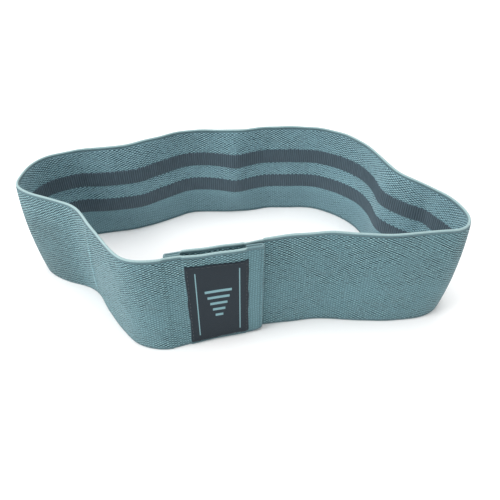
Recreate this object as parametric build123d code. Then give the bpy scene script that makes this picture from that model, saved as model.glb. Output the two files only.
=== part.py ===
from build123d import *
import os
from math import atan2, cos, pi, radians, remainder, sin, tan

# A fabric resistance band: one strip of woven elastic webbing, closed into a loop by a sewn overlap,
# standing on its lower edge. Seen from above, the strip is a run of straight lines and tangent arcs.
# It starts at its outer end, goes clockwise round the loop, and ends inside its own start.
# Every ply, thread, stripe, label and stitch is a ribbon: a stretch of that run, between two distances
# along it, two offsets from its middle line (outward is positive) and two heights.
# The strip is opened where the loop folds and where it stretches, so each section is a rigid body.
# All sizes are in millimetres.

# Webbing, through its thickness and up its height
BAND_HEIGHT = 80.0
FACE_PLY = 0.75
CORE_PLY = 0.7
SELVEDGE = 2.0
CORE_THREADS = 8
CORE_THREAD_GAP = 1.2

# Grip stripes, woven into the inner face
GRIP_HEIGHT = 12.0
GRIP_PROUD = 0.3
UPPER_GRIP_BOTTOM = 47.5
LOWER_GRIP_BOTTOM = 23.5

# Sewn overlap: each end of the strip is turned under, and both hems are sewn through
OVERLAP = 60.0
OUTER_HEM = 11.0
INNER_HEM = 10.0
LAYER_CLEARANCE = 0.35

# Label, wrapped on the outer layer beside the outer hem
LABEL_WIDTH = 38.5
LABEL_HEIGHT = 69.5
LABEL_BOTTOM = 2.5
LABEL_THICKNESS = 0.5
LABEL_SETBACK = 10.0

# Sewing thread
THREAD = 0.4
STITCH_LENGTH = 2.6
STITCH_PITCH = 3.4
SEAM_MARGIN = 2.2
LABEL_SEAM_MARGIN = 1.2

# Gaps left between the rigid sections where the real webbing is continuous
FOLD_GAP = 2.4
STRETCH_GAP = 1.0

# Plan of the loop, clockwise from the front left: corners (x, y) of the run and the bend radius at each.
# The straight where the ends overlap starts at a corner and has a direction. The outer end lies
# OVERLAP_START past that corner, and the first bend lies BEND_PAST_OVERLAP beyond the inner end.
OVERLAP_CORNER = (47.0, -70.5)
OVERLAP_HEADING = 191.5
OVERLAP_START = 40.0
BEND_PAST_OVERLAP = 23.5
FRONT_LEFT_RADIUS = 26.0
LOOP_CORNERS = [
    (-113.0, -46.5, 40.0),
    (-158.5, -23.0, 10.0),
    (-155.4, 13.5, 22.0),
    (-94.0, 25.2, 80.0),
    (-52.0, 46.5, 30.0),
    (72.3, 57.0, 50.0),
    (101.2, -7.2, 35.0),
    (133.5, -40.0, 25.0),
    (136.8, -66.0, 13.0),
    (95.0, -74.2, 80.0),
]
OVERLAP_RADIUS = 60.0

# Places where the loop folds as it collapses flat, and where it stretches. The four folds are the
# corners of a parallelogram, so the fourth, at the back right, follows from these three.
FRONT_LEFT_FOLD = (-64.0, -97.2)
LEFT_FOLD = (-148.2, 12.6)
RIGHT_FOLD = (135.2, -57.0)
BACK_STRETCH = (-44.9, 47.1)
FRONT_STRETCH = (37.9, -72.4)

WEBBING = 2 * FACE_PLY + CORE_PLY
OUTER_SURFACE = WEBBING / 2
INNER_SURFACE = -WEBBING / 2
LAYER_OFFSET = 2 * WEBBING + GRIP_PROUD + LAYER_CLEARANCE
TINY = 1e-6


def left_of(heading):
    """Unit vector to the left of a heading in radians, which is outward on this run."""
    return Vector(-sin(heading), cos(heading))


def heading_of(direction):
    return atan2(direction.Y, direction.X)


class Run:
    """Straight lines joined by tangent arcs, measured by distance from the start."""

    def __init__(self, points, radii):
        self.stretches = []
        self.length = 0.0
        at = points[0]
        for corner, after, radius in zip(points[1:], points[2:], radii):
            into = corner - at
            heading = heading_of(into)
            turn = remainder(heading_of(after - corner) - heading, 2 * pi)
            tangent = radius * tan(abs(turn) / 2)
            self.add(at, heading, into.length - tangent, 0.0)
            bend = (1 if turn > 0 else -1) / radius
            self.add(corner - into.normalized() * tangent, heading, radius * abs(turn), bend)
            at = corner + (after - corner).normalized() * tangent
        last = points[-1] - at
        self.add(at, heading_of(last), last.length, 0.0)

    def add(self, start, heading, length, bend):
        self.stretches.append((self.length, start, heading, length, bend))
        self.length += length

    @staticmethod
    def on(stretch, distance, offset):
        """Point beside one stretch, at a distance along the whole run."""
        begin, start, heading, _, bend = stretch
        along = distance - begin
        if bend == 0:
            return start + Vector(cos(heading), sin(heading)) * along + left_of(heading) * offset
        centre = start + left_of(heading) * (1 / bend)
        return centre + left_of(heading + along * bend) * (offset - 1 / bend)

    def nearest(self, place):
        """Distance along the run of the point nearest to a place."""
        target = Vector(*place)
        distance = self.length / 2
        reach = self.length / 2
        while reach > TINY:
            tries = [distance + reach * i / 50 for i in range(-50, 51)]
            tries = [min(max(d, 0.0), self.length) for d in tries]
            distance = min(tries, key=lambda d: (self.at(d) - target).length)
            reach = reach / 20
        return distance

    def at(self, distance, offset=0.0):
        for stretch in self.stretches:
            if distance <= stretch[0] + stretch[3] + TINY:
                return self.on(stretch, distance, offset)
        raise ValueError("distance is past the end of the run")

    def side(self, first, last, offset):
        """Edges of the run's offset line between two distances."""
        edges = []
        for stretch in self.stretches:
            a = max(first, stretch[0])
            b = min(last, stretch[0] + stretch[3])
            if b - a < TINY:
                continue
            begin = self.on(stretch, a, offset)
            end = self.on(stretch, b, offset)
            if stretch[4] == 0:
                edges.append(Line(begin, end))
            else:
                edges.append(ThreePointArc(begin, self.on(stretch, (a + b) / 2, offset), end))
        return edges


def ribbon(run, distances, offsets, heights):
    """Closed solid along the run, between two distances, two offsets and two heights."""
    first, last = distances
    inner = run.side(first, last, offsets[0])
    outer = run.side(first, last, offsets[1])
    ends = [
        Line(inner[0] @ 0, outer[0] @ 0),
        Line(inner[-1] @ 1, outer[-1] @ 1),
    ]
    outline = Face(Wire(inner + outer + ends))
    solid = extrude(outline, amount=heights[1] - heights[0], dir=(0, 0, 1))
    return solid.moved(Location((0, 0, heights[0]))).solid()


def overlap_point(distance, offset):
    """Point on the straight of the overlap, at a distance past its corner."""
    heading = radians(OVERLAP_HEADING)
    along = Vector(cos(heading), sin(heading)) * distance
    return Vector(*OVERLAP_CORNER) + along + left_of(heading) * offset


def strip_run():
    """Run of the whole strip, from its outer end to its inner end."""
    inner_end = OVERLAP_START + OVERLAP
    points = [
        overlap_point(OVERLAP_START, LAYER_OFFSET),
        overlap_point(inner_end + BEND_PAST_OVERLAP, LAYER_OFFSET),
    ]
    points += [Vector(x, y) for x, y, _ in LOOP_CORNERS]
    points += [overlap_point(0, 0), overlap_point(inner_end, 0)]
    radii = [FRONT_LEFT_RADIUS] + [radius for _, _, radius in LOOP_CORNERS] + [OVERLAP_RADIUS]
    return Run(points, radii)


def core_threads(run, distances):
    """Rubber threads side by side between the two selvedges."""
    room = BAND_HEIGHT - 2 * SELVEDGE
    pitch = room / CORE_THREADS
    offsets = (-CORE_PLY / 2, CORE_PLY / 2)
    threads = []
    for i in range(CORE_THREADS):
        bottom = SELVEDGE + i * pitch + CORE_THREAD_GAP / 2
        threads.append(ribbon(run, distances, offsets, (bottom, bottom + pitch - CORE_THREAD_GAP)))
    return threads


def webbing_section(run, name, distances):
    """Nodes of one rigid stretch of webbing."""
    full = (0, BAND_HEIGHT)
    behind_face = (INNER_SURFACE, OUTER_SURFACE - FACE_PLY)
    inner_ply = (INNER_SURFACE, INNER_SURFACE + FACE_PLY)
    grip = (INNER_SURFACE - GRIP_PROUD, INNER_SURFACE)
    return {
        f"{name}_outer_face": [ribbon(run, distances, (OUTER_SURFACE - FACE_PLY, OUTER_SURFACE), full)],
        f"{name}_inner_face": [
            ribbon(run, distances, inner_ply, (SELVEDGE, BAND_HEIGHT - SELVEDGE)),
        ],
        f"{name}_rubber_core": core_threads(run, distances),
        f"{name}_selvedges": [
            ribbon(run, distances, behind_face, (0, SELVEDGE)),
            ribbon(run, distances, behind_face, (BAND_HEIGHT - SELVEDGE, BAND_HEIGHT)),
        ],
        f"{name}_upper_grip": [
            ribbon(run, distances, grip, (UPPER_GRIP_BOTTOM, UPPER_GRIP_BOTTOM + GRIP_HEIGHT)),
        ],
        f"{name}_lower_grip": [
            ribbon(run, distances, grip, (LOWER_GRIP_BOTTOM, LOWER_GRIP_BOTTOM + GRIP_HEIGHT)),
        ],
    }


def upright_seam(run, distance, surface):
    """Row of stitches up the height, standing on a surface."""
    count = int((BAND_HEIGHT - 2 * SELVEDGE) // STITCH_PITCH)
    bottom = (BAND_HEIGHT - (count - 1) * STITCH_PITCH - STITCH_LENGTH) / 2
    across = (distance - THREAD / 2, distance + THREAD / 2)
    return [
        ribbon(run, across, surface, (z, z + STITCH_LENGTH))
        for z in (bottom + i * STITCH_PITCH for i in range(count))
    ]


def label_seam(run, first, last):
    """Stitches round the label, just inside its edges."""
    surface = (OUTER_SURFACE + LABEL_THICKNESS, OUTER_SURFACE + LABEL_THICKNESS + THREAD)
    left, right = first + LABEL_SEAM_MARGIN, last - LABEL_SEAM_MARGIN
    low = LABEL_BOTTOM + LABEL_SEAM_MARGIN
    high = LABEL_BOTTOM + LABEL_HEIGHT - LABEL_SEAM_MARGIN
    corner_room = STITCH_PITCH - STITCH_LENGTH + THREAD
    stitches = []
    wide = int((right - left - 2 * corner_room) // STITCH_PITCH)
    start = (left + right - (wide - 1) * STITCH_PITCH - STITCH_LENGTH) / 2
    for i in range(wide):
        along = (start + i * STITCH_PITCH, start + i * STITCH_PITCH + STITCH_LENGTH)
        for z in (low, high):
            stitches.append(ribbon(run, along, surface, (z - THREAD / 2, z + THREAD / 2)))
    tall = int((high - low - 2 * corner_room) // STITCH_PITCH)
    bottom = (low + high - (tall - 1) * STITCH_PITCH - STITCH_LENGTH) / 2
    for i in range(tall):
        up = (bottom + i * STITCH_PITCH, bottom + i * STITCH_PITCH + STITCH_LENGTH)
        for distance in (left, right):
            across = (distance - THREAD / 2, distance + THREAD / 2)
            stitches.append(ribbon(run, across, surface, up))
    return stitches


def overlap_pieces(run):
    """Turned-under hems, label and sewing of the overlap."""
    full = (0, BAND_HEIGHT)
    label = (LABEL_SETBACK, LABEL_SETBACK + LABEL_WIDTH)
    outer_surface = (OUTER_SURFACE, OUTER_SURFACE + THREAD)
    inner_surface = (INNER_SURFACE - GRIP_PROUD - THREAD, INNER_SURFACE - GRIP_PROUD)
    hem_under = (INNER_SURFACE - GRIP_PROUD - WEBBING, INNER_SURFACE - GRIP_PROUD)
    hem_over = (OUTER_SURFACE, OUTER_SURFACE + WEBBING)
    return {
        "outer_hem": [ribbon(run, (0, OUTER_HEM), hem_under, full)],
        "inner_hem": [ribbon(run, (run.length - INNER_HEM, run.length), hem_over, full)],
        "label": [
            ribbon(
                run,
                label,
                (OUTER_SURFACE, OUTER_SURFACE + LABEL_THICKNESS),
                (LABEL_BOTTOM, LABEL_BOTTOM + LABEL_HEIGHT),
            )
        ],
        "label_stitching": label_seam(run, *label),
        "outer_hem_stitching": upright_seam(run, SEAM_MARGIN, outer_surface),
        "inner_hem_stitching": upright_seam(run, run.length - SEAM_MARGIN, inner_surface),
    }


def section_ends(run):
    """Distances where each rigid section starts and ends, with the gaps between them taken off."""
    back_right_fold = (
        LEFT_FOLD[0] + RIGHT_FOLD[0] - FRONT_LEFT_FOLD[0],
        LEFT_FOLD[1] + RIGHT_FOLD[1] - FRONT_LEFT_FOLD[1],
    )
    cuts = [
        (run.nearest(FRONT_LEFT_FOLD), FOLD_GAP),
        (run.nearest(LEFT_FOLD), FOLD_GAP),
        (run.nearest(BACK_STRETCH), STRETCH_GAP),
        (run.nearest(back_right_fold), FOLD_GAP),
        (run.nearest(RIGHT_FOLD), FOLD_GAP),
        (run.nearest(FRONT_STRETCH), STRETCH_GAP),
    ]
    starts = [0.0] + [cut + gap / 2 for cut, gap in cuts]
    ends = [cut - gap / 2 for cut, gap in cuts] + [run.length]
    names = ["join", "left_side", "back_left", "back_right", "right_side", "front_right", "inner_end"]
    return dict(zip(names, zip(starts, ends)))


def build_nodes():
    """All nodes, with the origin under the middle of the loop's box."""
    run = strip_run()
    nodes = {}
    for name, distances in section_ends(run).items():
        nodes.update(webbing_section(run, name, distances))
    nodes.update(overlap_pieces(run))
    box = Compound([solid for solids in nodes.values() for solid in solids]).bounding_box()
    middle = Location((-box.center().X, -box.center().Y, 0))
    return {name: [solid.moved(middle) for solid in solids] for name, solids in nodes.items()}


os.makedirs("parts", exist_ok=True)
for node_name, node_solids in build_nodes().items():
    shape = node_solids[0] if len(node_solids) == 1 else Compound(node_solids)
    export_step(shape, f"parts/{node_name}.step")
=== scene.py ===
from math import atan2, cos, pi, radians, remainder, sin, tan

import bpy
import numpy as np
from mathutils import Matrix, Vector


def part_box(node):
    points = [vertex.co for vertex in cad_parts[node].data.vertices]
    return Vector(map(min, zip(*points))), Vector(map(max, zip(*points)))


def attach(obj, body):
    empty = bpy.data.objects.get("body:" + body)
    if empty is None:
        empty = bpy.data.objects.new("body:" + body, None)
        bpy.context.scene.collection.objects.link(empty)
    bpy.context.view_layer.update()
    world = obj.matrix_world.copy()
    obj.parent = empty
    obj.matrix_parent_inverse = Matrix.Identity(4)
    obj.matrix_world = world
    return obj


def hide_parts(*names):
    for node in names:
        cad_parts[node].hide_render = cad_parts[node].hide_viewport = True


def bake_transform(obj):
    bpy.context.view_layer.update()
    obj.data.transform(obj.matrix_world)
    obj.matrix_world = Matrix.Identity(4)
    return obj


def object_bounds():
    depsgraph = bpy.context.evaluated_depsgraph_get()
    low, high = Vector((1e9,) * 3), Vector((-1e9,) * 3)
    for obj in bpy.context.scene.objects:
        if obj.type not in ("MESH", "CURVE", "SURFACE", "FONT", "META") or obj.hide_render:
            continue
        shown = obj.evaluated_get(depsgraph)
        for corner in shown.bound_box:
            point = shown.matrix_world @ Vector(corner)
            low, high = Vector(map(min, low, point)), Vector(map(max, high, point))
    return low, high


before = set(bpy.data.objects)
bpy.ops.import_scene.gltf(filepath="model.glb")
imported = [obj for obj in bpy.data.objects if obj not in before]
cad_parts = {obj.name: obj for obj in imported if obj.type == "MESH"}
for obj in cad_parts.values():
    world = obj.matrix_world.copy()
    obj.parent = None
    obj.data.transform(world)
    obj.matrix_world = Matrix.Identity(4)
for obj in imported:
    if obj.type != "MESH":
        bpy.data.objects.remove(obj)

# A loop of woven elastic webbing standing on its lower edge. Seen from above, the webbing follows one
# track: its outer end is turned under, it goes clockwise round the loop, and its inner end is turned
# out behind the outer layer. Every piece of cloth is a closed surface swept along a stretch of it.
# Sizes are in metres. "Station" is the distance along the strip from the fold at its outer end.

cad_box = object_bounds()

MM = 0.001
BAND_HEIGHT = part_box("join_outer_face")[1].z
WEBBING = 2.2 * MM
HALF = WEBBING / 2
SELVEDGE = 2.0 * MM
LAYER_OFFSET = 5.05 * MM
OUTER_HEM = 11.0 * MM
INNER_HEM = 10.0 * MM
SEAM_MARGIN = 2.2 * MM

# Plies of the webbing: two woven covers with flat rubber threads between them
CORE_HALF = 0.35 * MM
CORE_THREADS = 8
CORE_THREAD_GAP = 1.2 * MM
CORE_CLEARANCE = 0.02 * MM

# Where it is sewn, the webbing is pressed to a share of its thickness, over a reach either side of the seam
PRESSED = 0.8
PRESS_REACH = 5 * MM
PRESS_FADE = 1.8 * MM
# Radius at which the strip's middle turns back on itself for a hem, and how far that fold reaches
HEM_TURN = HALF * PRESSED + 0.04 * MM
FOLD_REACH = HEM_TURN + HALF * PRESSED

# Plan of the loop: the corners of its straights and the radius of each bend
OVERLAP_CORNER = (0.047, -0.0705)
OVERLAP_HEADING = radians(191.5)
OVERLAP_START = 0.040
OVERLAP = 0.060
BEND_PAST_OVERLAP = 0.0235
FRONT_LEFT_RADIUS = 0.026
LOOP_CORNERS = [
    (-0.1130, -0.0465, 0.040),
    (-0.1585, -0.0230, 0.010),
    (-0.1554, 0.0135, 0.022),
    (-0.0940, 0.0252, 0.080),
    (-0.0520, 0.0465, 0.030),
    (0.0723, 0.0570, 0.050),
    (0.1012, -0.0072, 0.035),
    (0.1335, -0.0400, 0.025),
    (0.1368, -0.0660, 0.013),
    (0.0950, -0.0742, 0.080),
]
OVERLAP_RADIUS = 0.060
PLAN_STEP = 0.4 * MM
PLAN_SOFTNESS = 4.0 * MM

# Weave: small holes in quincunx, and how finely the meshes follow them
HOLE_PITCH = 3.2 * MM
HOLE_ROWS = 1.9 * MM
HOLE_DEPTH = 0.26 * MM
RIB_DEPTH = 0.04 * MM
RIB_PITCH = HOLE_PITCH / 2
COLUMN = HOLE_PITCH / 6
ROW = HOLE_ROWS / 4
SELVEDGE_GROOVE = 0.2 * MM
SELVEDGE_GROOVE_REACH = 0.35 * MM
SEAM_DIMPLE = 0.25 * MM
SEAM_DIMPLE_REACH = 0.8 * MM
# How far the rows and columns of the weave drift from straight
DRIFT_ALONG = 0.45 * MM
DRIFT_UP = 0.3 * MM
# Section of a selvedge: distances below its rim and shares of the webbing's half thickness there, then
# the half width and rise of its rounded crown
SELVEDGE_DEPTHS = (SELVEDGE - 0.02 * MM, 1.45 * MM, 0.85 * MM)
SELVEDGE_SHARES = (0.86, 0.92, 0.76)
RIM_HALF = 0.66 * MM
RIM_RISE = 0.42 * MM
# Where the outer face is stretched open most, as a station and a reach, and how much more open it is
STRETCHED_SPAN = (0.160, 0.070)
STRETCHED_OPEN = 0.45
# How open each cell of the weave is, as it is never knitted quite evenly
CELLS = np.clip(0.35 + np.random.default_rng(5).gamma(2.0, 0.33, (509, 97)), 0, 1.9)

# Grips
UPPER_GRIP = (47.5 * MM, 59.5 * MM)
LOWER_GRIP = (23.5 * MM, 35.5 * MM)
GRIP_PROUD = 0.35 * MM
GRIP_SUNK = 0.3 * MM
GRIP_SHOULDER = 0.5 * MM
GRIP_RIB = 0.12 * MM
GRIP_TOOTH_ABOVE = 0.5 * MM
GRIP_TOOTH_BELOW = 0.15 * MM

# Label
LABEL_SETBACK = 10.0 * MM
LABEL_WIDTH = 38.5 * MM
LABEL_HEIGHT = 69.5 * MM
LABEL_BOTTOM = 2.5 * MM
LABEL_THICKNESS = 0.5 * MM
LABEL_WAVER = 0.22 * MM
LABEL_TAPER = 1.0 * MM
LABEL_SEAM_MARGIN = 1.2 * MM
LABEL_SUNK = 0.05 * MM

# Sewing
THREAD = 0.42 * MM
STITCH_LENGTH = 2.6 * MM
STITCH_PITCH = 3.4 * MM

# Cloth that crosses each joint: the two bodies, and the plan points where it starts and stops turning
CROSSINGS = [
    ("join", "left_side", (-0.0397, -0.0757), (-0.0797, -0.0757)),
    ("left_side", "back_left", (-0.1369, -0.0115), (-0.1369, 0.0386)),
    ("back_left", "back_right", (-0.1007, 0.0), (0.0393, 0.0)),
    ("back_right", "right_side", (0.0413, 0.0756), (0.0993, 0.0416)),
    ("right_side", "front_right", (0.1465, -0.0065), (0.1465, -0.0455)),
    ("front_right", "inner_end", (0.1293, 0.0), (0.0153, 0.0)),
]
# Plan points between the crossings, where one span of cloth ends and the next starts
SPAN_ENDS = [(-0.1007, -0.0265), (-0.1127, 0.0415), (0.0403, 0.0754), (0.1123, 0.0145), (0.1333, -0.0474)]

# Places where the cloth stands out from its plan, or in where the amount is negative: plan point, amounts at
# its lower edge, middle and upper edge, and reach along the strip
LEANS = [
    ((0.0084, -0.0643), -2.0 * MM, -0.4 * MM, 0.8 * MM, 0.035),
    ((-0.0386, -0.0763), 2.4 * MM, 0.3 * MM, 0.0, 0.014),
    ((-0.0694, -0.0671), -1.2 * MM, -0.4 * MM, -0.4 * MM, 0.014),
    ((-0.1032, -0.0253), -2.8 * MM, -1.4 * MM, -1.4 * MM, 0.018),
    ((-0.1354, -0.0075), 0.0, 0.5 * MM, 1.3 * MM, 0.012),
    ((-0.1460, -0.0005), -3.0 * MM, 0.8 * MM, 0.4 * MM, 0.012),
    ((-0.1477, 0.0150), 0.3 * MM, 1.2 * MM, -0.5 * MM, 0.015),
    ((-0.1350, 0.0370), 0.0, -0.6 * MM, -2.0 * MM, 0.018),
    ((-0.1170, 0.0402), 0.0, 2.4 * MM, 0.0, 0.011),
    ((-0.0985, 0.0437), 0.4 * MM, -0.7 * MM, 2.0 * MM, 0.026),
    ((-0.0736, 0.0506), 0.6 * MM, -2.0 * MM, 0.6 * MM, 0.012),
    ((-0.0323, 0.0687), 2.0 * MM, 3.0 * MM, 1.8 * MM, 0.016),
    ((-0.0005, 0.0712), 0.2 * MM, -4.4 * MM, -1.2 * MM, 0.010),
    ((0.0274, 0.0734), 3.0 * MM, 2.2 * MM, 1.4 * MM, 0.014),
    ((0.0633, 0.0751), 1.6 * MM, 0.8 * MM, -1.2 * MM, 0.018),
    ((0.0984, 0.0455), 2.6 * MM, 3.2 * MM, 0.4 * MM, 0.021),
    ((0.1092, 0.0218), 0.4 * MM, -3.0 * MM, 0.0, 0.011),
    ((0.1227, 0.0090), 0.0, 0.5 * MM, 1.2 * MM, 0.018),
    ((0.1307, -0.0042), -0.4 * MM, 4.0 * MM, 0.6 * MM, 0.009),
    ((0.1477, -0.0350), 0.0, 3.0 * MM, 1.8 * MM, 0.018),
    ((0.1424, -0.0429), -2.3 * MM, -0.4 * MM, 0.3 * MM, 0.010),
    ((0.0312, -0.0544), 0.0, -0.6 * MM, -1.6 * MM, 0.014),
    ((0.0069, -0.0594), -2.0 * MM, -0.4 * MM, 0.0, 0.042),
    ((-0.0373, -0.0684), 2.2 * MM, 0.3 * MM, 0.0, 0.014),
]
# A soft crease where the left side turns towards the front: plan point at mid height, height, reach, and
# how far it moves along the strip for each unit of height
CREASE_PLACE = (-0.0945, -0.0346)
CREASE = 1.3 * MM
CREASE_REACH = 2.3 * MM
CREASE_SLANT = -0.23

# How far the outer and inner layer are drawn together where they are sewn, and the lift of the fold's corner
OUTER_DRAW = 0.5 * MM
INNER_DRAW = 0.7 * MM
CORNER_LIFT = 3.6 * MM
CORNER_REACH = 9 * MM

# Slow ripples of the cloth: pitch, amount and phase. They calm down towards the outer fold.
RIPPLES = [(0.083, 0.30 * MM, 0.4), (0.047, 0.18 * MM, 2.1), (0.021, 0.07 * MM, 1.2)]
CALM_REACH = 0.02
CALMEST = 0.15
# How much the upper edge waves, and how far the lower edge stays off the ground
EDGE_WAVE = 0.25 * MM
GROUND_GAP = 0.1 * MM

# Label motif: two pinstripes, and bars that lengthen upward
PINSTRIPE = 0.7 * MM
PINSTRIPE_REACH = 13.5 * MM
PINSTRIPE_INSET = 6 * MM
PINSTRIPE_PROUD = 0.16 * MM
BARS = 5
BAR = 2.2 * MM
BAR_PITCH = 5.6 * MM
SHORT_BAR = 5.0 * MM
LONG_BAR = 17.0 * MM
BAR_PROUD = 0.18 * MM

# Camera and light
CAMERA_LENS = 40.3
CAMERA_PLACE = (0.0113, -0.3076, 0.2997)
CAMERA_TARGET = (0.0113, 0.0216, 0.0)
SENSOR_WIDTH = 36
FLOOR_SIZE = 60
FLOOR_GREY = 0.97
WORLD_STRENGTH = 0.68
# Area lamps: name, place, size and power, all aimed at the middle of the loop
LAMP_TARGET = (0, 0, 0.04)
LAMPS = [
    ("key", (-1.0, -0.40, 0.70), 0.6, 9.0),
    ("overhead", (0.0, 0.10, 1.2), 0.9, 11.0),
]


# ---------------------------------------------------------------- plan of the strip


def overlap_point(distance, offset):
    """Point on the straight of the overlap, past its corner, offset outward."""
    along = np.array([cos(OVERLAP_HEADING), sin(OVERLAP_HEADING)])
    outward = np.array([-sin(OVERLAP_HEADING), cos(OVERLAP_HEADING)])
    return np.array(OVERLAP_CORNER) + along * distance + outward * offset


def rounded_corners(points, radii):
    """Points of straight lines joined by tangent arcs."""
    path = [points[0]]
    for before, corner, after, radius in zip(points, points[1:], points[2:], radii):
        into = (corner - before) / np.linalg.norm(corner - before)
        out = (after - corner) / np.linalg.norm(after - corner)
        turn = remainder(atan2(out[1], out[0]) - atan2(into[1], into[0]), 2 * pi)
        tangent = radius * tan(abs(turn) / 2)
        side = 1 if turn > 0 else -1
        start = corner - into * tangent
        centre = start + np.array([-into[1], into[0]]) * radius * side
        steps = max(4, int(abs(turn) * radius / PLAN_STEP))
        for i in range(steps + 1):
            angle = turn * i / steps
            spoke = start - centre
            path.append(
                centre
                + np.array(
                    [
                        spoke[0] * cos(angle) - spoke[1] * sin(angle),
                        spoke[0] * sin(angle) + spoke[1] * cos(angle),
                    ]
                )
            )
    path.append(points[-1])
    return np.array(path)


def evenly_spaced(path, step):
    """Distances along a path, and its points at them, about a step apart."""
    along = np.concatenate([[0], np.cumsum(np.linalg.norm(np.diff(path, axis=0), axis=1))])
    stations = np.linspace(0, along[-1], int(round(along[-1] / step)) + 1)
    return stations, np.stack([np.interp(stations, along, path[:, i]) for i in (0, 1)], 1)


def softened(path, reach, step):
    """Path with its corners eased, and its two ends where they were."""
    count = int(4 * reach / step)
    kernel = np.exp(-0.5 * (np.arange(-count, count + 1) * step / reach) ** 2)
    before = 2 * path[0] - path[count:0:-1]
    after = 2 * path[-1] - path[-2 : -count - 2 : -1]
    longer = np.concatenate([before, path, after])
    return np.stack([np.convolve(longer[:, i], kernel / kernel.sum(), "valid") for i in (0, 1)], 1)


def outward_normals(path):
    """Unit normals of a clockwise path, pointing out of the loop."""
    along = np.gradient(path, axis=0)
    along /= np.linalg.norm(along, axis=1)[:, None]
    return np.stack([-along[:, 1], along[:, 0]], 1)


class Plan:
    """Middle line of the strip from its outer fold to its inner fold, seen from above, in the CAD frame."""

    def __init__(self):
        inner_end = OVERLAP_START + OVERLAP
        points = [
            overlap_point(OVERLAP_START, LAYER_OFFSET),
            overlap_point(inner_end + BEND_PAST_OVERLAP, LAYER_OFFSET),
        ]
        points += [np.array([x, y]) for x, y, _ in LOOP_CORNERS]
        points += [overlap_point(0, 0), overlap_point(inner_end, 0)]
        radii = [FRONT_LEFT_RADIUS] + [radius for _, _, radius in LOOP_CORNERS] + [OVERLAP_RADIUS]
        _, crisp = evenly_spaced(rounded_corners(points, radii), PLAN_STEP)
        crisp += self.place(crisp)
        self.stations, self.points = evenly_spaced(softened(crisp, PLAN_SOFTNESS, PLAN_STEP), PLAN_STEP)
        self.normals = outward_normals(self.points)
        self.length = self.stations[-1]

    @staticmethod
    def place(crisp):
        """Shift that brings the leftmost and rearmost cloth to where the CAD model has it."""
        surface = crisp + outward_normals(crisp) * HALF
        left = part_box("left_side_outer_face")[0].x - surface[:, 0].min()
        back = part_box("back_right_outer_face")[1].y - surface[:, 1].max()
        return np.array([left, back])

    def at(self, stations):
        """Points and outward normals at stations."""
        points = np.stack([np.interp(stations, self.stations, self.points[:, i]) for i in (0, 1)], 1)
        normals = np.stack([np.interp(stations, self.stations, self.normals[:, i]) for i in (0, 1)], 1)
        return points, normals / np.linalg.norm(normals, axis=1)[:, None]

    def nearest(self, place):
        return self.stations[np.linalg.norm(self.points - np.array(place), axis=1).argmin()]


plan = Plan()
LEAN_STATIONS = [plan.nearest(lean[0]) for lean in LEANS]
CREASE_STATION = plan.nearest(CREASE_PLACE)
# First and last station of the cloth, with its two hems counted on past the folds
FIRST = 2 * FOLD_REACH - pi * HEM_TURN - OUTER_HEM
LAST = plan.length - 2 * FOLD_REACH + pi * HEM_TURN + INNER_HEM


def strip_at(stations):
    """Plan points of the strip's middle, its own outward normals, and the stations of the layer it lies by.
    The strip turns under at its outer end and out at its inner end, and its two hems lie by that layer."""
    stations = np.asarray(stations, float)
    start, end, turn = FOLD_REACH, plan.length - FOLD_REACH, pi * HEM_TURN
    past_start = np.clip(start - stations - turn, 0, None)
    past_end = np.clip(stations - end - turn, 0, None)
    hosts = np.clip(stations, start, end) + past_start - past_end
    points, normals = plan.at(hosts)
    points, normals = points.copy(), normals.copy()
    onward = np.stack([normals[:, 1], -normals[:, 0]], 1)
    for side, beyond in ((-1, start - stations), (1, stations - end)):
        fold = beyond > 0
        angle = np.clip(beyond[fold] / HEM_TURN, 0, pi)[:, None] - pi / 2
        spoke = np.sin(angle) * normals[fold] * side + np.cos(angle) * onward[fold] * side
        points[fold] = points[fold] + normals[fold] * HEM_TURN * side + spoke * HEM_TURN
        normals[fold] = -spoke * side
    return points, normals, hosts


def smooth(values):
    """0 to 1 with an easy start and end."""
    values = np.clip(values, 0, 1)
    return values * values * (3 - 2 * values)


def swell(values, centre, reach):
    return np.exp(-(((values - centre) / reach) ** 2))


def wander(a, b):
    """Slow drift of the weave, between about -1 and 1."""
    first = np.sin(2 * pi * (a / 0.041 + b / 0.073) + 0.4)
    second = np.sin(2 * pi * (a / 0.0137 - b / 0.031) + 1.9)
    return 0.6 * first + 0.4 * second


def pressed(hosts):
    """1 where the cloth is sewn flat: in its own hems, and where the other end's hem is sewn on it."""
    seams = (
        OUTER_HEM / 2,
        OVERLAP - INNER_HEM / 2,
        plan.length - OVERLAP + OUTER_HEM / 2,
        plan.length - INNER_HEM / 2,
    )
    flat = np.zeros_like(hosts)
    for seam in seams:
        flat = np.maximum(flat, 1 - smooth((abs(hosts - seam) - PRESS_REACH) / PRESS_FADE))
    return flat


def lean(hosts, heights):
    """How far the cloth stands off its plan: the loop isn't quite upright or smooth, it has a crease and
    ripples, and its two layers are drawn together where they are sewn."""
    up = heights / BAND_HEIGHT
    off = np.zeros(np.broadcast(hosts, heights).shape)
    for station, (_, lower, middle, upper, reach) in zip(LEAN_STATIONS, LEANS):
        amount = lower * (1 - up) * (1 - 2 * up) + middle * 4 * up * (1 - up) + upper * up * (2 * up - 1)
        off = off + amount * swell(hosts, station, reach)
    crease = CREASE_STATION + CREASE_SLANT * (heights - BAND_HEIGHT / 2)
    off = off + CREASE * swell(hosts, crease, CREASE_REACH) * 4 * up * (1 - up)
    calm = np.clip(hosts / CALM_REACH, CALMEST, 1)
    for pitch, amount, phase in RIPPLES:
        ripple = amount * np.sin(2 * pi * hosts / pitch + phase + 1.3 * up)
        off = off + ripple * (0.4 + 0.6 * abs(2 * up - 1)) * calm
    outer_layer = hosts < plan.length / 2
    return off + pressed(hosts) * np.where(outer_layer, -OUTER_DRAW, INNER_DRAW)


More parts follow.
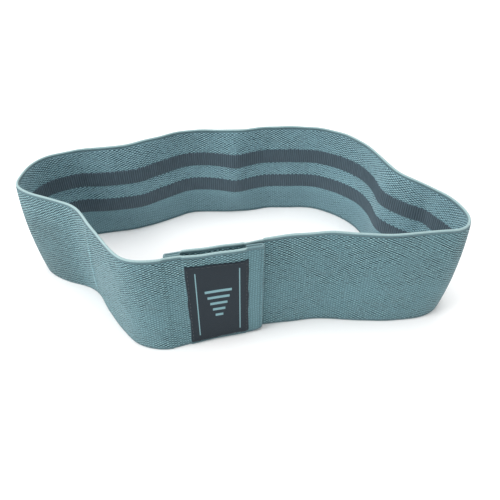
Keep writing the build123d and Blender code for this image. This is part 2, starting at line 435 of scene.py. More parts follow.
def settle(hosts, heights):
    """Height of the cloth: its upper edge waves a little, its lower edge rests on the ground, and the lower
    corner of the outer fold is drawn up."""
    up = heights / BAND_HEIGHT
    wave = EDGE_WAVE * (np.sin(2 * pi * hosts / 0.061 + 0.7) + 0.6 * np.sin(2 * pi * hosts / 0.023))
    corner = CORNER_LIFT * np.clip(1 - hosts / CORNER_REACH, 0, 1) ** 2 * np.clip(1 - 3 * up, 0, 1) ** 2
    return heights + wave * up**2 + GROUND_GAP * (1 - up) + corner


def on_cloth(stations, offsets, heights):
    """Points beside the strip, from stations, offsets along its own outward normal, and heights."""
    stations, offsets, heights = np.broadcast_arrays(stations, offsets, heights)
    shape = stations.shape
    line, place = np.unique(stations.ravel(), return_inverse=True)
    points, normals, hosts = (part[place] for part in strip_at(line))
    _, host_normals = plan.at(hosts)
    flat_heights = heights.ravel()
    thick = 1 - (1 - PRESSED) * pressed(hosts)
    where = points + normals * (offsets.ravel() * thick)[:, None]
    where = where + host_normals * lean(hosts, flat_heights)[:, None]
    return np.column_stack([where, settle(hosts, flat_heights)]).reshape(*shape, 3)


# ---------------------------------------------------------------- meshes


def grid_normals(grid):
    """Normals of a grid of columns by closed rows."""
    along = np.gradient(grid, axis=0)
    around = np.roll(grid, -1, axis=1) - np.roll(grid, 1, axis=1)
    normals = np.cross(around, along)
    return normals / np.maximum(np.linalg.norm(normals, axis=2), 1e-12)[..., None]


def solid_piece(name, tubes, material):
    """One mesh of closed tubes. Each tube is a grid of columns by rows, its normals, and what its material
    reads at each point: station, height and how open the weave is."""
    points, normals, strip, quads, caps = [], [], [], [], []
    count = 0
    for grid, grid_normal, coordinates in tubes:
        columns, rows = grid.shape[:2]
        index = np.arange(columns * rows).reshape(columns, rows) + count
        a, b = index[:-1], index[1:]
        quads += np.stack([a, np.roll(a, -1, 1), np.roll(b, -1, 1), b], 2).reshape(-1, 4).tolist()
        caps += [index[0][::-1].tolist(), index[-1].tolist()]
        points.append(grid.reshape(-1, 3))
        normals.append(grid_normal.reshape(-1, 3))
        strip.append(coordinates.reshape(-1, 3))
        count += columns * rows
    mesh = bpy.data.meshes.new(name)
    mesh.from_pydata(np.concatenate(points).tolist(), [], quads + caps)
    attribute = mesh.attributes.new("strip", "FLOAT_VECTOR", "POINT")
    attribute.data.foreach_set("vector", np.concatenate(strip).ravel())
    mesh.materials.append(material)
    mesh.polygons.foreach_set("use_smooth", [True] * len(quads) + [False] * len(caps))
    mesh.update()
    mesh.normals_split_custom_set_from_vertices(np.concatenate(normals).tolist())
    piece = bpy.data.objects.new(name, mesh)
    bpy.context.scene.collection.objects.link(piece)
    return piece


def swept_tube(stations, offsets, heights):
    """Tube along the cloth, for solid_piece. Its profile is offsets at heights, and the offsets may be a
    function that also gives the material coordinates. A column past each end is only for the normals."""
    margin = np.concatenate([[2 * stations[0] - stations[1]], stations, [2 * stations[-1] - stations[-2]]])
    s, z = np.broadcast_arrays(margin[:, None], heights[None, :])
    if callable(offsets):
        offsets, coordinates = offsets(s, z)
    else:
        offsets = np.broadcast_to(offsets, s.shape)
        coordinates = np.stack([s, z, np.zeros(s.shape)], 2)
    grid = on_cloth(s, offsets, z)
    return grid[1:-1], grid_normals(grid)[1:-1], coordinates[1:-1]


def span_stations(first, last, step, fine=()):
    """Stations from first to last, closer together inside the folds."""
    parts = [np.linspace(first, last, max(2, int((last - first) / step) + 1))]
    for low, high in fine:
        if first <= low and high <= last:
            parts[0] = parts[0][(parts[0] < low) | (parts[0] > high)]
            parts.append(np.linspace(low, high, 16))
    return np.unique(np.round(np.concatenate(parts), 7))


def span_cuts(first, last):
    """First and last station of each span of cloth between two stations."""
    cuts = [plan.nearest(place) for place in SPAN_ENDS]
    return list(zip([first] + cuts, cuts + [last]))


def across_joint(piece, span, slot, *parts):
    """Hides the parts of both bodies that a span of cloth stands for across its joint, and bakes the span's
    transform.
    """
    body_a, body_b, start, end = CROSSINGS[span]
    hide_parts(*[f"{body}_{part}" for body in (body_a, body_b) for part in parts])
    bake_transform(piece)


# ---------------------------------------------------------------- webbing


def holes(along, up):
    """How deep in a hole of the weave a point lies, from 0 to 1."""
    lattice = np.cos(2 * pi * along / HOLE_PITCH) * np.cos(2 * pi * up / HOLE_ROWS)
    return smooth((lattice - 0.1) / 0.75)


def cell_openness(along, up):
    """How open the cell of the weave is that a point lies in, about 1 on average."""
    column = np.rint(2 * along / HOLE_PITCH).astype(int) % CELLS.shape[0]
    row = np.rint(2 * up / HOLE_ROWS).astype(int) % CELLS.shape[1]
    return CELLS[column, row]


def weave_openness(side, stations, heights):
    """How open the weave is. The outer face is most open near its upper edge and where it is stretched, and
    the inner face above its grips and between them. Both are close in their hems and beside the edges."""
    _, _, hosts = strip_at(stations[:, 0])
    patches = 0.85 + 0.3 * wander(stations * 0.7, heights * 1.3)
    if side > 0:
        zone = 0.62 + 0.38 * smooth((heights - 0.3 * BAND_HEIGHT) / (0.6 * BAND_HEIGHT))
        zone = zone * (1 + STRETCHED_OPEN * swell(stations, *STRETCHED_SPAN))
        for low, high in (UPPER_GRIP, LOWER_GRIP):
            zone = zone - 0.15 * smooth((heights - low) / MM) * smooth((high - heights) / MM)
    else:
        between = smooth((heights - LOWER_GRIP[1]) / MM)
        above = smooth((heights - UPPER_GRIP[1]) / MM)
        zone = 0.3 + 0.45 * between + 0.25 * above
    edge = smooth((heights - SELVEDGE) / MM) * smooth((BAND_HEIGHT - SELVEDGE - heights) / MM)
    hemmed = 1 - smooth((hosts - OUTER_HEM) / (2 * MM)) + smooth((hosts - plan.length + INNER_HEM) / (2 * MM))
    return np.clip(zone * patches, 0, 1.2) * edge * (1 - 0.85 * hemmed[:, None])


def cover_surface(side, exposed):
    """Offsets and material coordinates of a woven cover, as a function of station and height."""

    def surface(stations, heights):
        along = stations + DRIFT_ALONG * wander(stations, heights)
        up = heights + DRIFT_UP * wander(heights * 1.7 + 0.01, stations)
        open_weave = weave_openness(side, stations, heights) * cell_openness(along, up) * exposed
        depth = HOLE_DEPTH * holes(along, up) * open_weave
        depth = depth + RIB_DEPTH * (0.5 - 0.5 * np.cos(2 * pi * along / RIB_PITCH)) * exposed
        for line in (SELVEDGE, BAND_HEIGHT - SELVEDGE):
            depth = depth + SELVEDGE_GROOVE * swell(heights, line, SELVEDGE_GROOVE_REACH) * exposed
        for seam in (SEAM_MARGIN, plan.length - SEAM_MARGIN):
            depth = depth + SEAM_DIMPLE * swell(stations, seam, SEAM_DIMPLE_REACH) * exposed
        offsets = side * (np.where(exposed > 0, HALF, CORE_HALF) - depth)
        return offsets, np.stack([along, up, open_weave], 2)

    return surface


def cover_tube(side, stations):
    """One woven cover as a closed tube: its textured face, and a plain back against the rubber threads."""
    low, high = SELVEDGE, BAND_HEIGHT - SELVEDGE
    face = np.linspace(low, high, int(round((high - low) / ROW)) + 1)
    back = np.linspace(high, low, 5)
    if side > 0:
        heights = np.concatenate([face, back])
        exposed = np.concatenate([np.ones(face.size), np.zeros(back.size)])
    else:
        heights = np.concatenate([back[::-1], face[::-1]])
        exposed = np.concatenate([np.zeros(back.size), np.ones(face.size)])
    return swept_tube(stations, cover_surface(side, exposed), heights)


def selvedge_tubes(stations):
    """The two rounded edges of the webbing."""
    angles = np.linspace(0, pi, 9)
    side = np.array(SELVEDGE_SHARES) * HALF
    side_heights = BAND_HEIGHT - np.array(SELVEDGE_DEPTHS)
    offsets = np.concatenate([side, RIM_HALF * np.cos(angles), -side[::-1]])
    crown = BAND_HEIGHT - RIM_RISE + RIM_RISE * np.sin(angles)
    heights = np.concatenate([side_heights, crown, side_heights[::-1]])
    upper = swept_tube(stations, offsets, heights)
    lower = swept_tube(stations, offsets[::-1], BAND_HEIGHT - heights[::-1])
    return [upper, lower]


def rubber_tubes(stations):
    """Flat rubber threads inside the webbing, which let it stretch."""
    room = BAND_HEIGHT - 2 * SELVEDGE
    pitch = room / CORE_THREADS
    width = pitch - CORE_THREAD_GAP
    half = CORE_HALF - CORE_CLEARANCE
    ring = [(1, -0.4), (1, 0.4), (0.6, 0.5), (-0.6, 0.5), (-1, 0.4), (-1, -0.4), (-0.6, -0.5), (0.6, -0.5)]
    offsets = np.array([a for a, _ in ring]) * half
    heights = np.array([b for _, b in ring]) * width
    middles = [SELVEDGE + pitch * (i + 0.5) for i in range(CORE_THREADS)]
    return [swept_tube(stations, offsets, middle + heights) for middle in middles]


def make_webbing(outer, inner, edge, rubber):
    """The webbing in spans, each with its two covers, two selvedges and rubber threads."""
    turn = pi * HEM_TURN
    folds = [(FOLD_REACH - turn, FOLD_REACH), (plan.length - FOLD_REACH, plan.length - FOLD_REACH + turn)]
    spans = span_cuts(FIRST, LAST)
    for span, (low, high) in enumerate(spans):
        fine = span_stations(low, high, COLUMN, folds)
        coarse = span_stations(low, high, 3 * COLUMN, folds)
        number = span + 1
        threads = solid_piece(f"rubber_threads_{number}", rubber_tubes(coarse), rubber)
        across_joint(threads, span, "core_rubber", "rubber_core")
        edges = solid_piece(f"selvedges_{number}", selvedge_tubes(fine), edge)
        across_joint(edges, span, "selvedge", "selvedges")
        for name, side, material in (("outer", 1, outer), ("inner", -1, inner)):
            cover = solid_piece(f"{name}_cover_{number}", [cover_tube(side, fine)], material)
            slot = "face_weave" if side > 0 else "inner_weave"
            across_joint(cover, span, slot, f"{name}_face")
            if span == 0:
                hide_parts("outer_hem")
            if span == len(spans) - 1:
                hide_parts("inner_hem")


# ---------------------------------------------------------------- grip stripes


def grip_profile(low, high):
    """Offsets, heights and how exposed each row is, for one stripe standing off the inner face."""
    inset = GRIP_SHOULDER
    root, shoulder = -HALF - 0.1 * MM, -HALF - 0.75 * GRIP_PROUD
    rows = [(-HALF + GRIP_SUNK, low, 0), (-HALF + GRIP_SUNK, high, 0)]
    rows += [(root, high, 1), (shoulder, high - 0.25 * inset, 1)]
    rows += [(-HALF - GRIP_PROUD, z, 1) for z in np.linspace(high - inset, low + inset, 8)]
    rows += [(shoulder, low + 0.25 * inset, 1), (root, low, 1)]
    return [np.array(column) for column in zip(*rows)]


def make_grips(material):
    """Ribbed rubber stripes all along the inner face. Their edges are toothed by the cells of the weave."""
    ends = (OUTER_HEM + 2 * MM, plan.length - FOLD_REACH + pi / 2 * HEM_TURN)
    for name, (low, high) in (("upper", UPPER_GRIP), ("lower", LOWER_GRIP)):
        profile, heights, exposed = grip_profile(low, high)
        share = (heights - low) / (high - low)
        tooth = np.where(share > 0.9, GRIP_TOOTH_ABOVE, 0) + np.where(share < 0.1, GRIP_TOOTH_BELOW, 0)
        for span, (start, stop) in enumerate(span_cuts(*ends)):
            stations = span_stations(start, stop, RIB_PITCH / 6)
            step = stations[1] - stations[0]
            margin = np.concatenate([[start - step], stations, [stop + step]])
            rib = np.cos(2 * pi * margin / RIB_PITCH)[:, None]
            teeth = np.cos(2 * pi * margin / HOLE_PITCH + 1.2 * wander(margin * 2, 0))
            teeth = (teeth * (0.75 + 0.4 * wander(margin * 5, 0.01)))[:, None]
            offsets = profile[None, :] - exposed[None, :] * GRIP_RIB * rib
            s, z = np.broadcast_arrays(margin[:, None], heights[None, :])
            grid = on_cloth(s, offsets, z + tooth[None, :] * teeth)
            coordinates = np.stack([s, z, np.zeros(s.shape)], 2)
            tube = (grid[1:-1], grid_normals(grid)[1:-1], coordinates[1:-1])
            piece = solid_piece(f"{name}_grip_stripe_{span + 1}", [tube], material)
            across_joint(piece, span, "grip", f"{name}_grip")


# ---------------------------------------------------------------- label and sewing


def patch(name, stations, heights, base, thickness, material, waver=0.0, taper=0.0):
    """Thin patch with soft edges on the join, from its first and last station and its lowest and highest
    height. Its edges may waver, and its first end may be drawn in by the taper above and below."""
    step = 0.5 * MM
    s = np.linspace(*stations, max(6, int((stations[1] - stations[0]) / step)))
    z = np.linspace(*heights, max(6, int((heights[1] - heights[0]) / step)))
    edge = min(0.35 * MM, (heights[1] - heights[0]) / 4)
    z[1], z[-2] = z[0] + edge / 2, z[-1] - edge / 2
    s[1], s[-2] = s[0] + edge / 2, s[-1] - edge / 2
    front = np.full(z.size, thickness)
    front[[0, -1]] = 0.45 * thickness
    offsets = np.concatenate([front, np.zeros(z.size)])
    rows = np.concatenate([z, z[::-1]])
    grid_s, grid_z = (g.copy() for g in np.broadcast_arrays(s[:, None], rows[None, :]))
    lift = np.repeat(offsets[None, :], s.size, 0)
    lift[[0, -1]] *= 0.5
    up = (grid_z - heights[0]) / (heights[1] - heights[0])
    across = (grid_s - stations[0]) / (stations[1] - stations[0])
    wavy = waver * (np.sin(2 * pi * up * 2.3 + 1) + 0.5 * np.sin(2 * pi * up * 6.1))
    grid_s = grid_s + wavy * (2 * across - 1) ** 3
    wavy = waver * (np.sin(2 * pi * across * 1.4 + 2) + 0.5 * np.sin(2 * pi * across * 3.7))
    grid_z = grid_z + wavy * (2 * up - 1) ** 3 - taper * (1 - across) * (2 * up - 1)
    grid = on_cloth(grid_s, base + lift, grid_z)
    coordinates = np.stack([grid_s, grid_z, np.zeros(grid_s.shape)], 2)
    piece = solid_piece(name, [(grid, grid_normals(grid), coordinates)], material)
    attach(piece, "join")
    return piece


def make_label(material, motif):
    """The label and its motif, which stands a little off it."""
    first, last = LABEL_SETBACK, LABEL_SETBACK + LABEL_WIDTH
    low, high = LABEL_BOTTOM, LABEL_BOTTOM + LABEL_HEIGHT
    base = HALF - LABEL_SUNK
    place = ((first, last), (low, high))
    label = patch("label_patch", *place, base, LABEL_THICKNESS, material, LABEL_WAVER, LABEL_TAPER)
    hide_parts("label")
    middle, centre = (first + last) / 2, (low + high) / 2
    top = base + LABEL_THICKNESS - LABEL_SUNK
    stripe_heights = (low + PINSTRIPE_INSET, high - PINSTRIPE_INSET)
    for i, side in enumerate((-1, 1)):
        edge = middle + side * PINSTRIPE_REACH
        ends = (edge - PINSTRIPE / 2, edge + PINSTRIPE / 2)
        stripe = patch(f"label_pinstripe_{i + 1}", ends, stripe_heights, top, PINSTRIPE_PROUD, motif)
    for i in range(BARS):
        half = (SHORT_BAR + (LONG_BAR - SHORT_BAR) * i / (BARS - 1)) / 2
        z = centre + (i - (BARS - 1) / 2) * BAR_PITCH
        ends = (middle - half, middle + half)
        bar = patch(f"label_bar_{i + 1}", ends, (z - BAR / 2, z + BAR / 2), top, BAR_PROUD, motif)


def thread_piece(name, lines, material, body):
    """Stitches as small arched threads, riding on a body. Each is a line of (station, offset, height)
    points in cloth terms."""
    sides = 7
    flatness = 0.8
    lines = np.array(lines)
    points = on_cloth(lines[..., 0], lines[..., 1], lines[..., 2])
    lifted = on_cloth(lines[..., 0], lines[..., 1] + 0.1 * MM, lines[..., 2])
    along = np.gradient(points, axis=1)
    along /= np.linalg.norm(along, axis=2)[..., None]
    up = lifted - points
    up /= np.linalg.norm(up, axis=2)[..., None]
    across = np.cross(along, up)
    angles = np.arange(sides) * 2 * pi / sides
    taper = np.array([0.55, 0.95, 1, 1, 1, 0.95, 0.55])[None, :, None, None] * THREAD / 2
    ring = (
        points[:, :, None]
        + across[:, :, None] * np.cos(angles)[None, None, :, None] * taper
        + up[:, :, None] * np.sin(angles)[None, None, :, None] * taper * flatness
    )
    count, steps = ring.shape[:2]
    index = np.arange(count * steps * sides).reshape(count, steps, sides)
    a, b = index[:, :-1], index[:, 1:]
    quads = np.stack([a, np.roll(a, -1, 2), np.roll(b, -1, 2), b], 3).reshape(-1, 4).tolist()
    caps = index[:, 0, ::-1].tolist() + index[:, -1].tolist()
    mesh = bpy.data.meshes.new(name)
    mesh.from_pydata(ring.reshape(-1, 3).tolist(), [], quads + caps)
    strip = mesh.attributes.new("strip", "FLOAT_VECTOR", "POINT")
    kept = np.repeat(lines[:, :, None, :], sides, 2)[..., [0, 2, 1]]
    strip.data.foreach_set("vector", kept.ravel())
    mesh.materials.append(material)
    mesh.polygons.foreach_set("use_smooth", [True] * len(mesh.polygons))
    mesh.update()
    piece = bpy.data.objects.new(name, mesh)
    bpy.context.scene.collection.objects.link(piece)
    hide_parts(name)
    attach(piece, body)
    return piece


def stitch(start, end, surface, rng):
    """One stitch between two (station, height) points, arched over a surface offset."""
    share = np.linspace(0, 1, 7)[:, None]
    line = np.array(start) * (1 - share) + np.array(end) * share
    line = line + rng.normal(0, 0.06 * MM, 2)
    side = 1 if surface > 0 else -1
    arch = surface + side * THREAD * (np.sin(share[:, 0] * pi) ** 0.5 * 0.62 - 0.3)
    return np.column_stack([line[:, 0], arch, line[:, 1]])


def running_seam(start, end, surface, rng):
    """Stitches in a row from one (station, height) point to another."""
    start, end = np.array(start), np.array(end)
    length = np.linalg.norm(end - start)
    count = int(length / STITCH_PITCH)
    along = (end - start) / length
    first = (length - (count - 1) * STITCH_PITCH - STITCH_LENGTH) / 2
    row = []
    for i in range(count):
        begin = start + along * (first + i * STITCH_PITCH)
        row.append(stitch(begin, begin + along * STITCH_LENGTH, surface, rng))
    return row


def make_sewing(material, label_material):
    """The seams of the two hems, and the seam round the label."""
    rng = np.random.default_rng(11)
    low, high = SELVEDGE, BAND_HEIGHT - SELVEDGE
    surface = HALF * 0.85
    outer = running_seam((SEAM_MARGIN, low), (SEAM_MARGIN, high), surface, rng)
    thread_piece("outer_hem_stitching", outer, material, "join")
    station = plan.length - SEAM_MARGIN
    inner = running_seam((station, low), (station, high), -surface, rng)
    thread_piece("inner_hem_stitching", inner, material, "inner_end")
    margin = LABEL_SEAM_MARGIN
    left, right = LABEL_SETBACK + LABEL_WIDTH - margin, LABEL_SETBACK + margin
    bottom, top = LABEL_BOTTOM + margin, LABEL_BOTTOM + LABEL_HEIGHT - margin
    surface = HALF + LABEL_THICKNESS - 0.08 * MM
    corners = [(left, bottom), (left, top), (right, top - LABEL_TAPER), (right, bottom + LABEL_TAPER)]
    seam = []
    for a, b in zip(corners, corners[1:] + corners[:1]):
        seam += running_seam(a, b, surface, rng)
    thread_piece("label_stitching", seam, label_material, "join")


# ---------------------------------------------------------------- materials


def colour(code):
    """Linear colour from a six-digit hexadecimal code."""
    parts = [int(code[i : i + 2], 16) / 255 for i in (0, 2, 4)]
    return tuple(p / 12.92 if p <= 0.04045 else ((p + 0.055) / 1.055) ** 2.4 for p in parts) + (1.0,)


class Graph:
    """Shader nodes of one material, put together as expressions. It reads the cloth's stations and heights
    in millimetres, and how open its weave is."""

    def __init__(self, name, roughness, specular, sheen=0.0):
        self.material = bpy.data.materials.new(name)
        self.material.use_nodes = True
        self.tree = self.material.node_tree
        self.shader = self.tree.nodes["Principled BSDF"]
        self.shader.inputs["Roughness"].default_value = roughness
        self.shader.inputs["Specular IOR Level"].default_value = specular
        self.shader.inputs["Sheen Weight"].default_value = sheen
        self.shader.inputs["Sheen Roughness"].default_value = 0.45
        where = self.add("ShaderNodeAttribute")
        where.attribute_name = "strip"
        apart = self.add("ShaderNodeSeparateXYZ")
        self.join(where.outputs["Vector"], apart.inputs[0])
        self.along = self.math("MULTIPLY", apart.outputs[0], 1000)
        self.up = self.math("MULTIPLY", apart.outputs[1], 1000)
        self.open = apart.outputs[2]

    def add(self, kind):
        return self.tree.nodes.new(kind)

    def join(self, value, socket):
        if isinstance(value, bpy.types.NodeSocket):
            self.tree.links.new(value, socket)
        else:
            socket.default_value = value

    def math(self, operation, *values):
        node = self.add("ShaderNodeMath")
        node.operation = operation
        for value, socket in zip(values, node.inputs):
            self.join(value, socket)
        return node.outputs[0]

    def times(self, a, b):
        return self.math("MULTIPLY", a, b)

    def plus(self, a, b):
        return self.math("ADD", a, b)

    def step(self, value, low, high):
        """0 below low, 1 above high, and smooth between."""
        node = self.add("ShaderNodeMapRange")
        node.interpolation_type = "SMOOTHSTEP"
        for given, socket in zip((value, low, high, 0.0, 1.0), node.inputs):
            self.join(given, socket)
        return node.outputs[0]

    def band(self, value, low, high, soft):
        """1 between low and high, 0 outside."""
        above = self.step(value, low - soft, low + soft)
        below = self.step(value, high + soft, high - soft)
        return self.times(above, below)

    def wave(self, value, pitch):
        return self.math("COSINE", self.times(value, 2 * pi / pitch))

    def noise(self, scale_along, scale_up, detail, seed):
        """Noise in cloth terms, from 0 to 1, with its own scale along and up, per millimetre."""
        join = self.add("ShaderNodeCombineXYZ")
        self.join(self.times(self.along, scale_along), join.inputs[0])
        self.join(self.times(self.up, scale_up), join.inputs[1])
        join.inputs[2].default_value = seed
        node = self.add("ShaderNodeTexNoise")
        node.inputs["Scale"].default_value = 1.0
        node.inputs["Detail"].default_value = detail
        self.join(join.outputs[0], node.inputs["Vector"])
        return node.outputs["Fac"]

    def blend(self, share, a, b, how="MIX"):
        node = self.add("ShaderNodeMix")
        node.data_type = "RGBA"
        node.blend_type = how
        self.join(share, node.inputs[0])
        self.join(a, node.inputs[6])
        self.join(b, node.inputs[7])
        return node.outputs[2]

    def shade(self, tint, value, low, high):
        """Colour made darker or lighter, by low where the value is 0 and by high where it is 1."""
        grey = self.blend(value, (low, low, low, 1), (high, high, high, 1))
        return self.blend(1.0, tint, grey, "MULTIPLY")

    def finish(self, tint, height, depth, strength):
        """Sets the colour, and the relief with its depth in metres and its strength from 0 to 1."""
        self.join(tint, self.shader.inputs["Base Color"])
        bump = self.add("ShaderNodeBump")
        bump.inputs["Strength"].default_value = strength
        bump.inputs["Distance"].default_value = depth
        self.join(height, bump.inputs["Height"])
        self.join(bump.outputs[0], self.shader.inputs["Normal"])
        return self.material


def weave(name, cloth, hole, knuckle, painted_low_shade=1.0, painted_crease_highlight=1.0, painted_stretch_shade=1.0):
    """Woven cover: dark holes where the weave is open, light knuckles of yarn between them, and fine ribs
    across the webbing. Its lowest third may be darkened by painted shade, as may the stretched cloth beside
    the crease, and the line of the crease may carry a painted highlight."""
    g = Graph(name, roughness=0.8, specular=0.25, sheen=0.2)
    lattice = g.times(g.wave(g.along, HOLE_PITCH / MM), g.wave(g.up, HOLE_ROWS / MM))
    uneven = g.plus(0.1, g.times(g.noise(0.5, 0.7, 1.0, seed=3.0), 2.0))
    hole_here = g.times(g.times(g.step(lattice, -0.1, 0.55), g.open), uneven)
    raised = g.times(g.step(lattice, 0.1, -0.7), g.plus(0.3, g.times(g.open, 0.7)))
    ribs = g.plus(0.5, g.times(g.wave(g.plus(g.along, 0.8), RIB_PITCH / MM), 0.5))
    yarn = g.noise(1.6, 0.5, 3.0, seed=1.0)
    fuzz = g.noise(5.0, 5.0, 2.0, seed=2.0)
    broad = g.noise(0.02, 0.03, 2.0, seed=4.0)
    streak = g.noise(0.03, 0.6, 2.0, seed=9.0)
    tint = g.blend(g.times(raised, 0.6), colour(cloth), colour(knuckle))
    tint = g.blend(hole_here, tint, colour(hole))
    tint = g.shade(tint, ribs, 1.1, 0.88)
    tint = g.shade(tint, yarn, 0.66, 1.36)
    tint = g.shade(tint, fuzz, 0.9, 1.1)
    tint = g.shade(tint, broad, 0.92, 1.08)
    tint = g.shade(tint, streak, 0.95, 1.05)
    # Painted shade: the inner face is darker towards its bottom, where the front of the loop shades it
    tint = g.shade(tint, g.step(g.up, 12.0, 30.0), painted_low_shade, 1.0)
    # Painted highlight: a light line along the ridge of the soft crease
    crease = g.plus(g.along, g.times(g.plus(g.up, -BAND_HEIGHT / MM / 2), -CREASE_SLANT))
    from_crease = g.math("ABSOLUTE", g.plus(crease, -CREASE_STATION / MM))
    crease_highlight_line = g.times(g.step(from_crease, 2.6, 0.3), g.band(g.up, 10.0, 62.0, 7.0))
    tint = g.shade(tint, crease_highlight_line, 1.0, painted_crease_highlight)
    # Painted shade: a band of the outer face beside the crease, over the stretched span, darker below its
    # upper edge
    middle, reach = (value / MM for value in STRETCHED_SPAN)
    stretched = g.band(g.along, middle, middle + 0.6 * reach, 12.0)
    tint = g.shade(tint, g.times(stretched, g.step(g.up, 68.0, 50.0)), 1.0, painted_stretch_shade)
    top = BAND_HEIGHT / MM
    edge = SELVEDGE / MM
    line = g.math("MAXIMUM", g.step(g.up, edge + 0.6, edge), g.step(g.up, top - edge - 0.6, top - edge))
    tint = g.blend(g.times(line, 0.6), tint, colour(hole))
    strands = g.plus(0.5, g.times(g.wave(g.up, HOLE_ROWS / MM / 4), 0.5))
    height = g.plus(g.times(raised, 0.5), g.times(g.math("SUBTRACT", 1.0, hole_here), 0.4))
    height = g.plus(height, g.plus(g.times(strands, 0.2), g.times(fuzz, 0.3)))
    return g.finish(tint, height, 0.18 * MM, 0.8)


def edge_weave(name, cloth, crown, hole):
    """Close-woven edge. Its yarn turns over the rim, and its crown is lighter with a painted highlight,
    except in the hems.
    """
    g = Graph(name, roughness=0.7, specular=0.3, sheen=0.3)
    slant = g.plus(g.along, g.times(g.up, 0.35))
    loops = g.plus(0.5, g.times(g.wave(slant, RIB_PITCH / MM / 2), 0.5))
    yarn = g.noise(1.3, 1.0, 3.0, seed=1.0)
    top = BAND_HEIGHT / MM
    edge = SELVEDGE / MM
    # Painted highlight: the crowns of both rims take the near-white crown colour, less of it in the hems
    rim = g.math("MAXIMUM", g.step(g.up, 0.45, 0.1), g.step(g.up, top - 0.95, top - 0.6))
    past_hems = g.band(g.along, OUTER_HEM / MM, (plan.length - INNER_HEM) / MM, 1.0)
    rim = g.times(rim, g.plus(0.25, g.times(past_hems, 0.75)))
    tint = g.blend(rim, colour(cloth), colour(crown))
    tint = g.blend(g.times(g.math("SUBTRACT", 1.0, loops), 0.1), tint, colour(hole))
    tint = g.shade(tint, yarn, 0.86, 1.18)
    root = g.math("MAXIMUM", g.step(g.up, edge - 0.35, edge), g.step(g.up, top - edge + 0.35, top - edge))
    tint = g.blend(g.times(root, 0.6), tint, colour(hole))
    return g.finish(tint, g.plus(loops, g.times(yarn, 0.5)), 0.2 * MM, 0.7)


def core_rubber():
    """Pale rubber thread with a dusting of talc."""
    g = Graph("core_rubber", roughness=0.55, specular=0.4)
    dust = g.noise(0.4, 0.9, 3.0, seed=2.0)
    tint = g.shade(colour("b9b4a4"), dust, 0.85, 1.1)
    return g.finish(tint, dust, 0.05 * MM, 0.5)


def grip_rubber():
    """Ribbed rubber yarn, dull, with a little light cover yarn showing through."""
    g = Graph("grip_rubber", roughness=0.62, specular=0.35)
    ribs = g.plus(0.5, g.times(g.wave(g.along, 1.6), 0.5))
    strands = g.plus(0.5, g.times(g.wave(g.up, 0.75), 0.5))
    streak = g.noise(0.9, 0.1, 3.0, seed=1.0)
    fuzz = g.noise(4.0, 4.0, 2.0, seed=2.0)
    tint = g.blend(g.times(ribs, 0.7), colour("384750"), colour("586b76"))
    tint = g.shade(tint, streak, 0.7, 1.34)
    tint = g.shade(tint, fuzz, 0.92, 1.08)
    height = g.plus(g.times(strands, 0.3), g.plus(g.times(ribs, 0.4), g.times(fuzz, 0.3)))
    return g.finish(tint, height, 0.12 * MM, 0.6)


def label_cloth():
    """Fine damask ground of the label."""
    g = Graph("label_cloth", roughness=0.6, specular=0.25, sheen=0.08)
    twill = g.plus(0.5, g.times(g.wave(g.plus(g.along, g.up), 0.75), 0.5))
    weft = g.plus(0.5, g.times(g.wave(g.up, 0.5), 0.5))
    streak = g.noise(0.15, 1.2, 3.0, seed=6.0)
    broad = g.noise(0.05, 0.05, 2.0, seed=7.0)
    tint = g.shade(colour("13222c"), twill, 0.93, 1.07)
    tint = g.shade(tint, streak, 0.88, 1.12)
    tint = g.shade(tint, broad, 0.92, 1.08)
    return g.finish(tint, g.plus(g.times(twill, 0.6), g.times(weft, 0.4)), 0.08 * MM, 0.6)


def motif_thread():
    """Light yarn of the label's bars and pinstripes."""
    g = Graph("motif_thread", roughness=0.6, specular=0.3, sheen=0.2)
    satin = g.plus(0.5, g.times(g.wave(g.along, 0.42), 0.5))
    tint = g.shade(colour("7ba4ac"), satin, 0.82, 1.1)
    return g.finish(tint, satin, 0.06 * MM, 0.6)


def sewing_thread(name, code):
    """Twisted polyester thread."""
    g = Graph(name, roughness=0.55, specular=0.35, sheen=0.1)
    twist = g.plus(0.5, g.times(g.wave(g.plus(g.along, g.up), 0.5), 0.5))
    tint = g.shade(colour(code), twist, 0.8, 1.12)
    return g.finish(tint, twist, 0.08 * MM, 0.7)


# ---------------------------------------------------------------- floor, light and camera


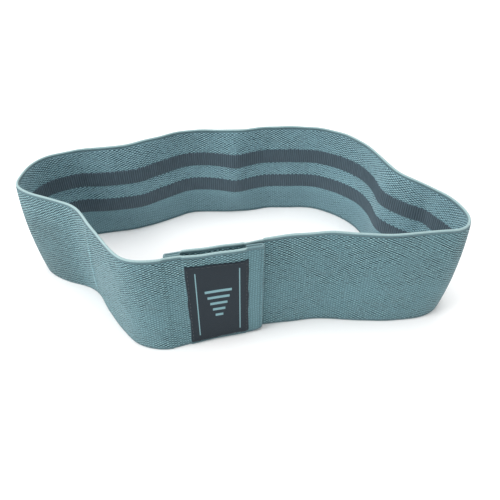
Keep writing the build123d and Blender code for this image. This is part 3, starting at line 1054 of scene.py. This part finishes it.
def make_stage():
    """Plain pale floor, white surroundings and the lamps."""
    bpy.ops.mesh.primitive_plane_add(size=FLOOR_SIZE, location=(0, 0, cad_box[0].z))
    floor = bpy.context.object
    floor.name = "floor"
    ground = bpy.data.materials.new("pale_floor")
    ground.use_nodes = True
    shader = ground.node_tree.nodes["Principled BSDF"]
    shader.inputs["Base Color"].default_value = (FLOOR_GREY, FLOOR_GREY, FLOOR_GREY, 1)
    shader.inputs["Roughness"].default_value = 0.95
    floor.data.materials.append(ground)
    world = bpy.data.worlds.new("studio")
    bpy.context.scene.world = world
    world.use_nodes = True
    sky = world.node_tree.nodes["Background"]
    sky.inputs["Color"].default_value = (1.0, 1.0, 1.0, 1)
    sky.inputs["Strength"].default_value = WORLD_STRENGTH
    for name, place, size, power in LAMPS:
        light = bpy.data.lights.new(name, "AREA")
        light.size = size
        light.energy = power
        lamp = bpy.data.objects.new(name, light)
        lamp.location = place
        lamp.rotation_euler = aim(place, LAMP_TARGET)
        bpy.context.scene.collection.objects.link(lamp)
    bpy.context.scene.view_settings.view_transform = "Standard"


def aim(place, target):
    """Rotation that points a lamp or camera from its place at a target."""
    return (Vector(target) - Vector(place)).to_track_quat("-Z", "Y").to_euler()


def make_camera():
    camera_data = bpy.data.cameras.new("camera")
    camera_data.sensor_width = SENSOR_WIDTH
    camera_data.lens = CAMERA_LENS
    camera = bpy.data.objects.new("camera", camera_data)
    camera.location = CAMERA_PLACE
    camera.rotation_euler = aim(CAMERA_PLACE, CAMERA_TARGET)
    bpy.context.scene.collection.objects.link(camera)
    bpy.context.scene.camera = camera


make_webbing(
    # Outer weave: painted highlight on the crease line, painted shade on the stretched span
    weave("outer_weave", "587c84", "0e242c", "93babf", painted_crease_highlight=1.45, painted_stretch_shade=0.74),
    # Inner weave: painted shade towards its bottom
    weave("inner_weave", "769aa4", "1f3c47", "a6cad1", painted_low_shade=0.78),
    # Edge weave: its near-white crown colour is a painted rim highlight
    edge_weave("edge_weave", "7aa3ab", "dcffff", "2c454e"),
    core_rubber(),
)
make_grips(grip_rubber())
make_label(label_cloth(), motif_thread())
make_sewing(sewing_thread("sewing_thread", "587982"), sewing_thread("label_thread", "303a42"))
make_stage()
make_camera()
